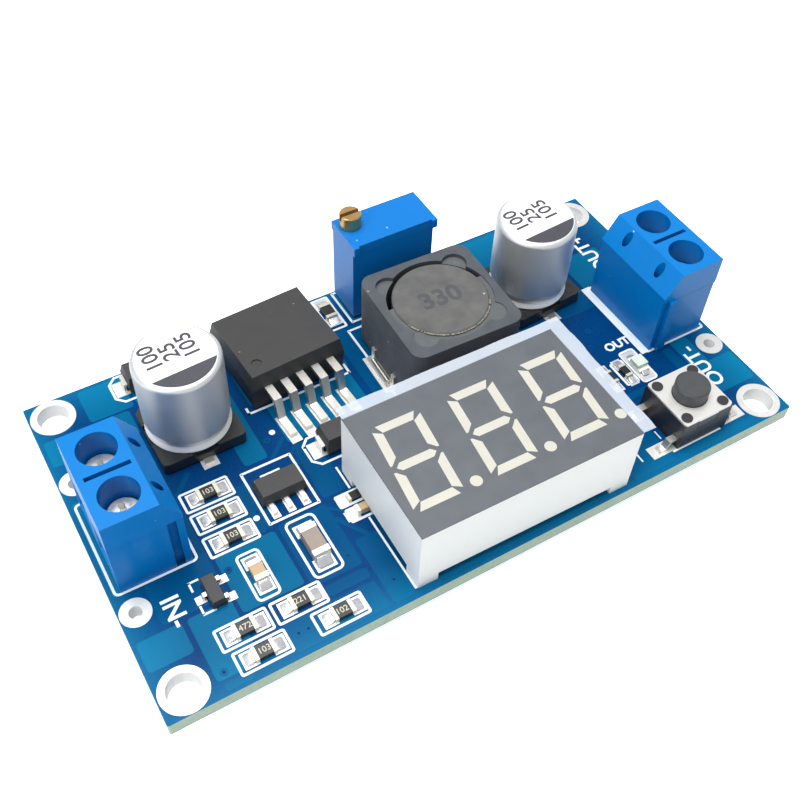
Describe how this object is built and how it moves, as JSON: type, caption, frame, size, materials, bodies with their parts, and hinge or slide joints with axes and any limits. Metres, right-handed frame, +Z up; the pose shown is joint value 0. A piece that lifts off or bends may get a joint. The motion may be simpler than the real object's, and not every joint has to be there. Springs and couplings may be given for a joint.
{
  "type": "step-down converter module",
  "caption": "Adjustable step-down power converter board with a digit display, a trimmer, a push switch and screw terminals.",
  "frame": {"origin": "under the centre of the board, in the plane of the clipped pin tips that the module stands on", "axes": "+X along the board to the output end, +Y to the trimmer edge, away from the display and the switch, +Z up out of the component side"},
  "size_m": [0.066, 0.036, 0.0148],
  "materials": {
    "solder_mask": "semi-gloss",
    "tinned_copper": "satin",
    "solder": "satin",
    "blue_plastic": "semi-gloss",
    "plated_brass": "satin",
    "plated_steel": "satin",
    "leaf_bronze": "satin",
    "can_aluminium": "satin",
    "black_plastic": "semi-gloss",
    "tinned_leads": "satin",
    "ferrite": "matt",
    "copper_wire": "enamelled",
    "adhesive": "matt",
    "epoxy_black": "matt",
    "trimmer_blue": "semi-gloss",
    "resin": "matt",
    "brass": "satin",
    "display_white": "semi-gloss",
    "display_grey": "matt",
    "segment_epoxy": "satin",
    "light_chip": "matt",
    "green_laminate": "matt",
    "clear_film": "clear",
    "switch_black": "matt",
    "plunger_grey": "matt",
    "cover_steel": "satin",
    "spring_steel": "satin",
    "chip_black": "glazed",
    "chip_tan": "matt",
    "chip_terminal": "satin",
    "led_white": "matt",
    "led_clear": "gloss"
  },
  "bodies": {
    "module": {"circuit_board": "solder_mask", "tinned_pads": "tinned_copper", "solder_joints": "solder", "input_terminal_housing": "blue_plastic", "input_terminal_cages": "plated_brass", "output_terminal_housing": "blue_plastic", "output_terminal_cages": "plated_brass", "input_capacitor_can": "can_aluminium", "input_capacitor_base": "black_plastic", "input_capacitor_leads": "tinned_leads", "output_capacitor_can": "can_aluminium", "output_capacitor_base": "black_plastic", "output_capacitor_leads": "tinned_leads", "inductor_shield": "ferrite", "inductor_core": "ferrite", "inductor_winding": "copper_wire", "inductor_clips": "tinned_leads", "inductor_adhesive": "adhesive", "regulator_body": "epoxy_black", "regulator_leads": "tinned_leads", "diode_bodies": "epoxy_black", "diode_leads": "tinned_leads", "trimmer_housing": "trimmer_blue", "trimmer_base": "resin", "trimmer_pins": "tinned_leads", "display_housing": "display_white", "display_face": "display_grey", "display_segments": "segment_epoxy", "display_chips": "light_chip", "display_board": "green_laminate", "display_pins": "tinned_leads", "display_film": "clear_film", "switch_base": "switch_black", "switch_cover": "cover_steel", "switch_dome": "spring_steel", "switch_legs": "tinned_leads", "small_regulator_body": "epoxy_black", "small_regulator_leads": "tinned_leads", "transistor_body": "epoxy_black", "transistor_leads": "tinned_leads", "chip_resistor_bodies": "chip_black", "chip_resistor_caps": "chip_terminal", "chip_capacitor_bodies": "chip_tan", "chip_capacitor_caps": "chip_terminal", "led_base": "led_white", "led_lens": "led_clear", "controller_body": "epoxy_black", "controller_leads": "tinned_leads"},
    "switch_plunger": {"switch_plunger": "plunger_grey"},
    "trimmer_screw": {"trimmer_screw": "brass"},
    "input_front_leaf": {"input_front_leaf": "leaf_bronze"},
    "input_front_screw": {"input_front_screw": "plated_steel"},
    "input_back_leaf": {"input_back_leaf": "leaf_bronze"},
    "input_back_screw": {"input_back_screw": "plated_steel"},
    "output_front_leaf": {"output_front_leaf": "leaf_bronze"},
    "output_front_screw": {"output_front_screw": "plated_steel"},
    "output_back_leaf": {"output_back_leaf": "leaf_bronze"},
    "output_back_screw": {"output_back_screw": "plated_steel"}
  },
  "joints": [
    {"name": "switch_press", "type": "slide", "parent": "module", "child": "switch_plunger", "axis": [0, 0, -1], "range_m": [0, 0.00025], "stiffness_N_per_m": 8000, "springref_m": -0.00005, "deforming": ["switch_dome"]},
    {"name": "trimmer_turn", "type": "hinge", "parent": "module", "child": "trimmer_screw", "pos_m": [0.00214, 0.0165, 0.0132], "axis": [0, 0, 1], "continuous": true},
    {"name": "input_front_leaf_slide", "type": "slide", "parent": "module", "child": "input_front_leaf", "axis": [0, 0, 1], "range_m": [0, 0.0022]},
    {"name": "input_front_screw_turn", "type": "hinge", "parent": "input_front_leaf", "child": "input_front_screw", "pos_m": [-0.0293, -0.00274, 0.0095], "axis": [0, 0, 1], "range_deg": [0, 1761]},
    {"name": "input_back_leaf_slide", "type": "slide", "parent": "module", "child": "input_back_leaf", "axis": [0, 0, 1], "range_m": [0, 0.0022]},
    {"name": "input_back_screw_turn", "type": "hinge", "parent": "input_back_leaf", "child": "input_back_screw", "pos_m": [-0.0293, 0.00234, 0.0095], "axis": [0, 0, 1], "range_deg": [0, 1761]},
    {"name": "output_front_leaf_slide", "type": "slide", "parent": "module", "child": "output_front_leaf", "axis": [0, 0, 1], "range_m": [0, 0.0022]},
    {"name": "output_front_screw_turn", "type": "hinge", "parent": "output_front_leaf", "child": "output_front_screw", "pos_m": [0.0293, -0.00274, 0.0095], "axis": [0, 0, 1], "range_deg": [0, 1761]},
    {"name": "output_back_leaf_slide", "type": "slide", "parent": "module", "child": "output_back_leaf", "axis": [0, 0, 1], "range_m": [0, 0.0022]},
    {"name": "output_back_screw_turn", "type": "hinge", "parent": "output_back_leaf", "child": "output_back_screw", "pos_m": [0.0293, 0.00234, 0.0095], "axis": [0, 0, 1], "range_deg": [0, 1761]}
  ],
  "couplings": [
    {"joint": "input_front_screw_turn", "follows": "input_front_leaf_slide", "rad_per_m": 13963},
    {"joint": "input_back_screw_turn", "follows": "input_back_leaf_slide", "rad_per_m": 13963},
    {"joint": "output_front_screw_turn", "follows": "output_front_leaf_slide", "rad_per_m": 13963},
    {"joint": "output_back_screw_turn", "follows": "output_back_leaf_slide", "rad_per_m": 13963}
  ]
}
